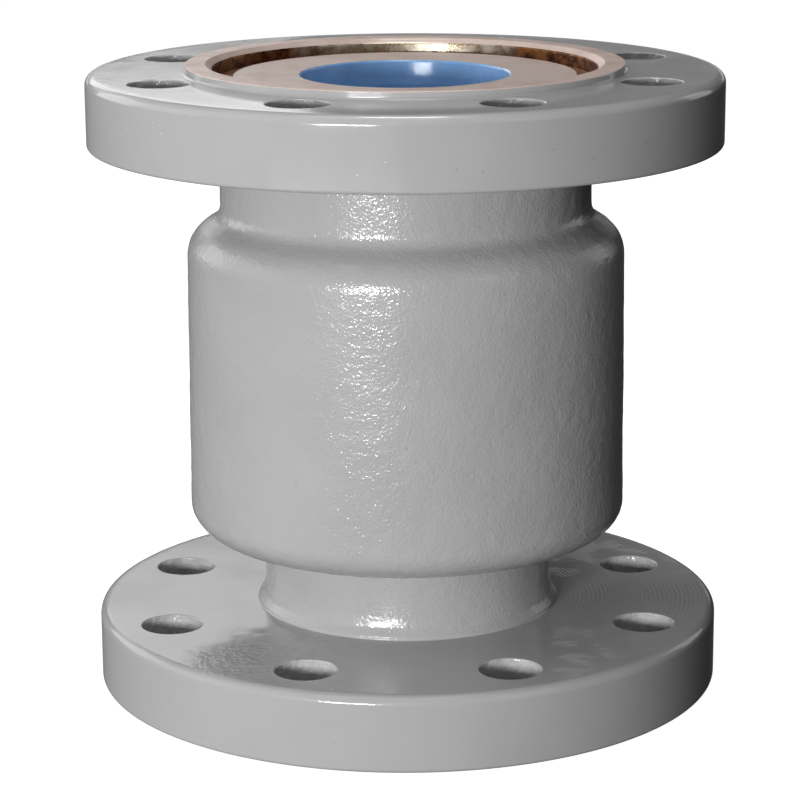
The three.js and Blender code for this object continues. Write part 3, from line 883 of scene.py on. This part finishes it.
def o_ring():
    centre = radius_of("seat_o_ring") - O_RING_WIRE
    section = arc(centre, O_RING_Z, O_RING_WIRE, 0, 360, 20)[:-1]
    made = turned("o_ring", section, RING_SEGMENTS)
    return finished(made, "o_ring", "valve_body", ["seat_o_ring"], [RUBBER])


# ---- screws

def threaded_line(radius, bottom, top, pitch=0.9, depth=0.28):
    """The side of a screw's shank, with its thread as a row of grooves."""
    line = []
    count = int((top - bottom - pitch) / pitch)
    for k in range(count):
        z = bottom + pitch * (k + 0.5)
        line.append((radius - depth, z))
        line.append((radius, z + pitch * 0.35))
        line.append((radius, z + pitch * 0.6))
    return line


def socket_tool(across_corners, bottom, top):
    return prism("socket", hexagon(across_corners), bottom, top)


def set_screw(node):
    low, high = ends_of(node)
    radius = 2.5
    outline = [
        (0, low),
        (radius - 0.5, low),
        *threaded_line(radius, low + 0.3, high - 0.2),
        (radius, high - 0.5),
        (radius - 0.5, high),
        (0, high),
    ]
    made = turned(node, outline, 32)
    return boolean(made, socket_tool(2.9, high - 2.5, high + 1), "DIFFERENCE")


def cap_screw(node, shank, head, head_height):
    low, high = ends_of(node)
    head_bottom = high - head_height
    rim = 0.4
    outline = [
        (0, low),
        (shank - 0.5, low),
        *threaded_line(shank, low + 0.3, head_bottom - 0.6),
        (shank, head_bottom),
        (head - 0.2, head_bottom),
        (head, head_bottom + 0.2),
        (head, high - rim),
        *arc(head - rim, high - rim, rim, 0, 90, 4)[1:],
        (0, high),
    ]
    made = turned(node, outline, 40)
    return boolean(made, socket_tool(head, high - head_height / 2, high + 1), "DIFFERENCE")


def guide_screw(node):
    return cap_screw(node, shank=2.5, head=4.25, head_height=4.7)


def retainer_screw(node):
    return cap_screw(node, shank=2, head=3.5, head_height=2.7)


def screws():
    for i in range(SEAT_SCREW_COUNT):
        node = f"seat_screw_{i + 1}"
        turn = SEAT_SCREW_TURN + 360 / SEAT_SCREW_COUNT * i
        made = placed(set_screw(node), SEAT_SCREW_CIRCLE, turn)
        finished(made, f"set_screw_{i + 1}", "valve_body", [node], [SCREW_STEEL])
    for i in range(GUIDE_SCREW_COUNT):
        node = f"guide_screw_{i + 1}"
        turn = 360 / GUIDE_SCREW_COUNT * i
        made = placed(guide_screw(node), GUIDE_SCREW_CIRCLE, turn)
        finished(made, f"guide_cap_screw_{i + 1}", "valve_body", [node],
                 [SCREW_STEEL])
    for i in range(RETAINER_SCREW_COUNT):
        node = f"retainer_screw_{i + 1}"
        turn = RETAINER_SCREW_TURN + 360 / RETAINER_SCREW_COUNT * i
        made = placed(retainer_screw(node), RETAINER_SCREW_CIRCLE, turn)
        finished(made, f"retainer_cap_screw_{i + 1}", "disc_assembly", [node],
                 [SCREW_STEEL])


# ---- guides and spring

def bush(node, flange_radius=None):
    low, high = ends_of(node)
    bore = STEM_RADIUS + 0.1
    outer = 8.1
    corners = [(bore, low, 0.3), (outer, low, 0.4)]
    if flange_radius:
        flange_bottom = high - 1.7
        corners += [(outer, flange_bottom, 0.2), (flange_radius, flange_bottom, 0.3),
                    (flange_radius, high, 0.5)]
    else:
        corners.append((outer, high, 0.4))
    corners.append((bore, high, 0.3))
    made = turned(node, rounded(corners), SMALL_SEGMENTS)
    return finished(made, node.replace("guide_bush", "bearing_bush"), "valve_body", [node],
                    [BUSH_BRONZE])


def guide_rib(inner, outer, low, rim_top, high):
    """One tapered rib of the lower guide, along +X, with its edges rounded."""
    half = 2.5
    edge = 0.8
    side = [(inner, low + 1), (outer, low - 4.5), (outer, rim_top - 1), (inner + 8, high),
            (inner, high)]
    count = len(side)
    vertices = [(x, y, z) for y in (-half, half) for x, z in side]
    faces = [tuple(range(count)), tuple(range(2 * count - 1, count - 1, -1))]
    for i in range(count):
        j = (i + 1) % count
        faces.append((j, i, count + i, count + j))
    made = make_object("rib", vertices, faces)
    bevel = made.modifiers.new("bevel", "BEVEL")
    bevel.width = edge * MM
    bevel.segments = 3
    bpy.context.view_layer.objects.active = made
    bpy.ops.object.modifier_apply(modifier="bevel")
    return made


def lower_guide():
    low, high = ends_of("lower_guide")
    rim_outer = radius_of("lower_guide")
    rim_top = low + 7
    ledge_top = bottom_of("spring_plate") - GAP
    tube_bottom = low + 5.5
    tube_radius = 12.3
    ledge_radius = 20
    tube = rounded([
        (HUB_BORE, tube_bottom, 0.6),
        (tube_radius, tube_bottom, 1.2),
        (tube_radius, ledge_top - 12, 3),
        (ledge_radius, ledge_top - 6, 1.5),
        (ledge_radius, ledge_top, 0.8),
        (tube_radius, ledge_top, 0.3),
        (tube_radius, high, 0.8),
        (HUB_BORE, high, 0.5),
    ])
    rim_inner = 47
    rim = ring_outline(rim_inner, rim_outer, low, rim_top, (0.8, 0.5, 1.5, 2))

    def rib():
        return guide_rib(10.8, 49, tube_bottom, rim_top, ledge_top - 6)

    made = fused([
        turned("lower_guide_casting", rim, RING_SEGMENTS),
        joined(around(rib, RIB_COUNT, 0, 45)),
        turned("tube", tube, SMALL_SEGMENTS),
    ])

    def hole():
        return cylinder(SCREW_HOLE, low - 1, rim_top + 1)

    cut(made, around(hole, GUIDE_SCREW_COUNT, GUIDE_SCREW_CIRCLE, 0))
    return finished(made, "lower_guide_casting", "valve_body", ["lower_guide"],
                    [GUIDE_EPOXY])


def spring_line(turn, turns, closed, bottom, top, wire):
    """Height of the spring's centre line after a number of turns."""
    closed_height = closed * (2 * wire + GAP)
    middle = min(max((turn - closed) / (turns - 2 * closed), 0), 1)
    low = min(turn, closed) / closed * closed_height
    high = max(turn - turns + closed, 0) / closed * closed_height
    return bottom + low + high + middle * (top - bottom - 2 * closed_height)


def spring():
    wire = 1.3
    mean_radius = 16.2
    turns = 9
    closed = 1
    sides = 14
    steps = turns * 56
    bottom = bottom_of("spring") + wire
    top = top_of("spring") - wire
    vertices, faces = [], []
    for k in range(steps + 1):
        turn = turns * k / steps
        angle = 2 * math.pi * turn
        z = spring_line(turn, turns, closed, bottom, top, wire)
        for side in range(sides):
            around_wire = 2 * math.pi * side / sides
            radius = mean_radius + wire * math.cos(around_wire)
            vertices.append((radius * math.cos(angle), radius * math.sin(angle),
                             z + wire * math.sin(around_wire)))
    for k in range(steps):
        for side in range(sides):
            a = k * sides + side
            b = k * sides + (side + 1) % sides
            faces.append((a, a + sides, b + sides, b))
    faces.append(tuple(range(sides)))
    faces.append(tuple(steps * sides + s for s in range(sides - 1, -1, -1)))
    made = make_object("coil_spring", vertices, faces)
    finished(made, "coil_spring", "valve_body", ["spring"], [SPRING_WIRE])
    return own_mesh(made)


def spring_plate():
    low, high = ends_of("spring_plate")
    bore = 12.6
    outer = 20
    outline = ring_outline(bore, outer, low, high, (0.3, 0.3, 0.4, 0.4))
    made = turned("spring_washer", outline, 96)
    return finished(made, "spring_washer", "valve_body", ["spring_plate"], [STAINLESS])


# ---- disc and stem

def disc():
    low, high = ends_of("disc")
    radius = radius_of("disc")
    underside = top_of("spring") + GAP
    pocket = high - 4.3
    hub_top = high - 1.3
    bore = STEM_RADIUS + GAP
    boss = 12.5
    lip = radius - 2.3
    seal_bore = 33
    outline = rounded([
        (bore, low, 0.4),
        (boss, low, 0.8),
        (boss, underside, 1),
        (radius - 3, underside, 1),
        (radius, underside + 3, 1),
        (radius, high, 0.5),
        (lip, high, 0.4),
        (lip, pocket, 0.3),
        (seal_bore, pocket, 0.3),
        (seal_bore, hub_top, 0.3),
        (bore, hub_top, 0.3),
    ])
    made = turned("valve_disc", outline, RING_SEGMENTS)

    def hole():
        return cylinder(SMALL_SCREW_HOLE, underside + 2, hub_top + 1, 24)

    cut(made, around(hole, RETAINER_SCREW_COUNT, RETAINER_SCREW_CIRCLE, RETAINER_SCREW_TURN))
    return finished(made, "valve_disc", "disc_assembly", ["disc"], [STAINLESS])


def disc_seal():
    low, high = ends_of("disc_seal")
    outer = radius_of("disc_seal")
    step = radius_of("seal_retainer") + GAP
    step_top = low + 2.7
    bore = 33.3
    outline = rounded([
        (bore, low, 0.4),
        (outer, low, 0.5),
        (outer, high, 0.9),
        (step, high, 0.5),
        (step, step_top, 0.3),
        (bore, step_top, 0.3),
    ])
    made = turned("seal_ring", outline, RING_SEGMENTS)
    return finished(made, "seal_ring", "disc_assembly", ["disc_seal"], [RUBBER])


def seal_retainer():
    low, high = ends_of("seal_retainer")
    outer = radius_of("seal_retainer")
    bore = STEM_RADIUS + GAP
    outline = ring_outline(bore, outer, low, high, (0.3, 0.4, 1, 0.6))
    made = turned("retaining_plate", outline, RING_SEGMENTS)

    def hole():
        return cylinder(SMALL_SCREW_HOLE, low - 1, high + 1, 24)

    cut(made, around(hole, RETAINER_SCREW_COUNT, RETAINER_SCREW_CIRCLE, RETAINER_SCREW_TURN))
    return finished(made, "retaining_plate", "disc_assembly", ["seal_retainer"],
                    [STAINLESS])


def stem():
    low, high = ends_of("stem")
    collar_bottom = bottom_of("disc") - GAP - 3
    collar = 9
    edge = 0.4
    thread_top = top_of("stem_nut") + 4
    thread_bottom = top_of("stem_washer")
    tip = 1
    centre_hole = 1.6
    outline = [
        (0, low),
        (STEM_RADIUS - tip, low),
        (STEM_RADIUS, low + tip),
        (STEM_RADIUS, collar_bottom - edge),
        (STEM_RADIUS + edge, collar_bottom),
        (collar - edge, collar_bottom),
        (collar, collar_bottom + edge),
        (collar, collar_bottom + 2.6),
        (collar - edge, collar_bottom + 3),
        (STEM_RADIUS, collar_bottom + 3),
        (STEM_RADIUS, thread_bottom),
        *threaded_line(STEM_RADIUS, thread_bottom, thread_top, 1.5, 0.7),
        (STEM_RADIUS, thread_top),
        (STEM_RADIUS, high - tip),
        (STEM_RADIUS - tip, high),
        (centre_hole, high),
        (0, high - 1.8),
    ]
    made = turned("valve_stem", outline, SMALL_SEGMENTS)
    return finished(made, "valve_stem", "disc_assembly", ["stem"], [POLISHED])


def stem_washer():
    low, high = ends_of("stem_washer")
    bore = STEM_RADIUS + GAP
    outer = 11
    outline = ring_outline(bore, outer, low, high, (0.2, 0.3, 0.4, 0.3))
    made = turned("plain_washer", outline, 64)
    return finished(made, "plain_washer", "disc_assembly", ["stem_washer"],
                    [STAINLESS])


def stem_nut():
    low, high = ends_of("stem_nut")
    corner = radius_of("stem_nut")
    flat = corner * math.cos(math.pi / 6)
    block = prism("hexagon_nut", hexagon(2 * corner), low, high)
    rise = (corner - flat + 0.4) * math.tan(math.radians(30))
    crown = turned("crown", [
        (0, low - 0.01),
        (flat - 0.4, low - 0.01),
        (corner + 0.01, low + rise),
        (corner + 0.01, high - rise),
        (flat - 0.4, high + 0.01),
        (0, high + 0.01),
    ], 96)
    boolean(block, crown, "INTERSECT")
    bore = STEM_RADIUS + GAP
    hole = turned("hole", [
        (0, low - 1),
        (bore + 1, low - 1),
        (bore + 1, low),
        (bore, low + 1),
        (bore, high - 1),
        (bore + 1, high),
        (bore + 1, high + 1),
        (0, high + 1),
    ], SMALL_SEGMENTS)
    boolean(block, hole, "DIFFERENCE")
    return finished(block, "hexagon_nut", "disc_assembly", ["stem_nut"], [STAINLESS])


# ---- studio

WALL_DARK = 0.004
WALL_PALE = 0.29


def camera():
    """A long lens in front of the valve, a little above it."""
    yaw = -0.0024
    pitch = 0.2447
    roll = 0.0054
    place = (0, -1.0462, 0.3689)
    forward = Vector((math.sin(yaw) * math.cos(pitch), math.cos(yaw) * math.cos(pitch),
                      -math.sin(pitch)))
    level = Vector((math.cos(yaw), -math.sin(yaw), 0))
    down = forward.cross(level)
    right = math.cos(roll) * level + math.sin(roll) * down
    up = math.sin(roll) * level - math.cos(roll) * down
    made = bpy.data.objects.new("camera", bpy.data.cameras.new("camera"))
    made.data.lens = 128.17
    made.data.sensor_width = 36
    made.data.clip_start = 0.01
    made.data.clip_end = 100
    rows = [(right[i], up[i], -forward[i]) for i in range(3)]
    made.matrix_world = Matrix.Translation(place) @ Matrix(rows).to_4x4()
    bpy.context.scene.collection.objects.link(made)
    bpy.context.scene.camera = made


def softbox(name, bearing, elevation, distance, width, height, power):
    """A soft light aimed at the middle of the valve. Bearing is from the front, right positive."""
    centre = Vector((0, 0, FACE_TO_FACE * MM / 2))
    turn, rise = math.radians(bearing), math.radians(elevation)
    direction = Vector((math.sin(turn) * math.cos(rise), -math.cos(turn) * math.cos(rise),
                        math.sin(rise)))
    light = bpy.data.lights.new(name, "AREA")
    light.shape = "RECTANGLE"
    light.size = width
    light.size_y = height
    light.energy = power
    made = bpy.data.objects.new(name, light)
    made.location = centre + direction * distance
    made.rotation_euler = direction.to_track_quat("Z", "Y").to_euler()
    bpy.context.scene.collection.objects.link(made)


def floor():
    half = 12000
    level = -0.2
    corners = [(-half, -half), (half, -half), (half, half), (-half, half)]
    made = make_object("floor", [(x, y, level) for x, y in corners], [(0, 1, 2, 3)])
    made.data.materials.append(pale_floor())
    made.visible_diffuse = False
    made.visible_glossy = False


def surroundings():
    """Dim studio walls, paler on the left. The camera itself sees a white backdrop."""
    world = bpy.data.worlds.new("studio")
    world.use_nodes = True
    bpy.context.scene.world = world
    tree = world.node_tree
    background = tree.nodes["Background"]
    seen = tree.nodes.new("ShaderNodeBackground")
    seen.inputs["Color"].default_value = (1, 1, 1, 1)
    place = tree.nodes.new("ShaderNodeTexCoord")
    parts = tree.nodes.new("ShaderNodeSeparateXYZ")
    ramp = tree.nodes.new("ShaderNodeMapRange")
    ramp.interpolation_type = "SMOOTHSTEP"
    ramp.inputs["From Min"].default_value = 0.6
    ramp.inputs["From Max"].default_value = -0.9
    ramp.inputs["To Min"].default_value = WALL_DARK
    ramp.inputs["To Max"].default_value = WALL_PALE
    path = tree.nodes.new("ShaderNodeLightPath")
    mix = tree.nodes.new("ShaderNodeMixShader")
    output = tree.nodes["World Output"]
    links = tree.links
    links.new(place.outputs["Generated"], parts.inputs["Vector"])
    links.new(parts.outputs["X"], ramp.inputs["Value"])
    links.new(ramp.outputs["Result"], background.inputs["Color"])
    links.new(path.outputs["Is Camera Ray"], mix.inputs["Fac"])
    links.new(background.outputs["Background"], mix.inputs[1])
    links.new(seen.outputs["Background"], mix.inputs[2])
    links.new(mix.outputs["Shader"], output.inputs["Surface"])


def studio():
    floor()
    surroundings()
    softbox("side_left", -90, 20, 1.5, 0.8, 0.8, 1.6)
    softbox("behind_left", -122, 18, 1.5, 0.8, 0.8, 3.6)
    softbox("left_edge", -145, 26, 1.5, 0.5, 0.6, 0.6)
    softbox("right_edge", 125, 16, 1.5, 0.5, 0.7, 1.2)
    softbox("back_panel", -165, 19, 1.5, 0.6, 0.36, 1.1)
    softbox("horizon", 180, 7, 1.5, 1.4, 0.12, 0.36)
    softbox("key", -20, 6, 1.5, 0.5, 0.2, 18.6)
    softbox("low_card", -22, -1, 0.46, 0.34, 0.09, 0.10)
    softbox("front_fill", 0, 32, 1.5, 0.5, 0.5, 0.3)
    softbox("right_fill", 45, 30, 1.5, 0.6, 0.6, 0.9)
    softbox("top_light", 0, 90, 1.0, 0.25, 0.25, 2.2)
    softbox("overhead", -20, 82, 1.3, 0.8, 0.8, 2.7)
    bpy.context.scene.view_settings.view_transform = "Standard"


camera()
casting()
seat_ring()
o_ring()
screws()
bush("upper_guide_bush")
bush("lower_guide_bush", 11)
lower_guide()
spring()
spring_plate()
disc()
disc_seal()
seal_retainer()
stem()
stem_washer()
stem_nut()
studio()
